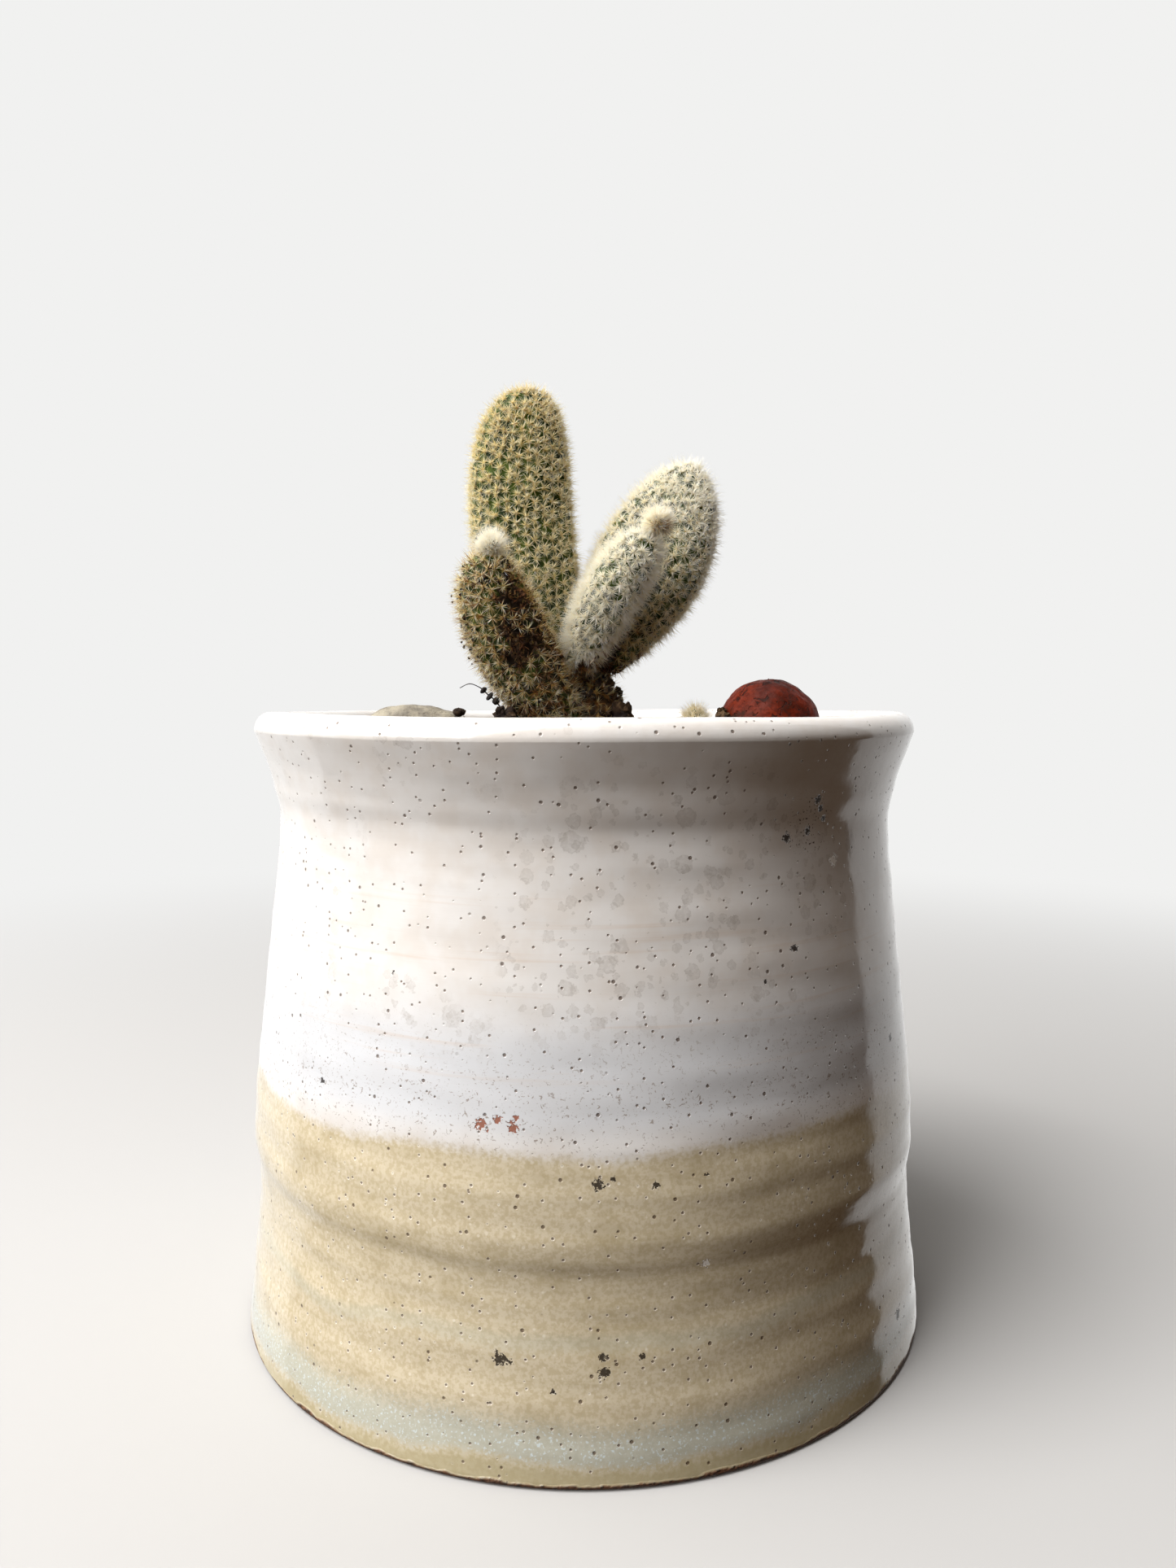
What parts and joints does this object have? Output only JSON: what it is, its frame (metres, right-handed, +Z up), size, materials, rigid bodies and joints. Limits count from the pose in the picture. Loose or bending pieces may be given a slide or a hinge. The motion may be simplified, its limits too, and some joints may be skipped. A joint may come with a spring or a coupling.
{
  "type": "potted paddle cactus",
  "caption": "Small paddle cactus with four woolly pads and two buds on a short stem, in soil in a wheel-thrown stoneware pot glazed white over oatmeal.",
  "frame": {"origin": "centre of the pot's flat base, on the surface it stands on", "axes": "+Z up out of the pot, -Y towards the front, where the two small pads are, and +X to the right, towards the clay ball"},
  "size_m": [0.0916, 0.0916, 0.1243],
  "materials": {
    "glazed_stoneware": "gloss glaze, white over oatmeal",
    "potting_soil": "rough, dark brown",
    "root_bark": "matt",
    "old_stem": "corky and spined",
    "cactus_skin": "green skin under cream spine tufts",
    "bud_wool": "white woolly spines",
    "fired_clay": "dull, red brown",
    "grey_stone": "smooth matt stone",
    "dry_fibre": "dry and dark"
  },
  "bodies": {
    "root": {"pot": "glazed_stoneware", "potting_soil": "potting_soil", "roots": "root_bark", "stem_base": "old_stem", "pad_tall": "cactus_skin", "pad_broad": "cactus_skin", "pad_front_left": "cactus_skin", "pad_front_right": "cactus_skin", "bud_front_left": "bud_wool", "bud_front_right": "bud_wool", "young_offset": "bud_wool", "clay_ball": "fired_clay", "grey_pebble": "grey_stone", "soil_lump_by_ball": "potting_soil", "soil_lump_left": "potting_soil", "soil_lump_right": "potting_soil", "soil_crumb_on_pebble": "potting_soil", "dry_rootlet": "dry_fibre"}
  },
  "joints": []
}
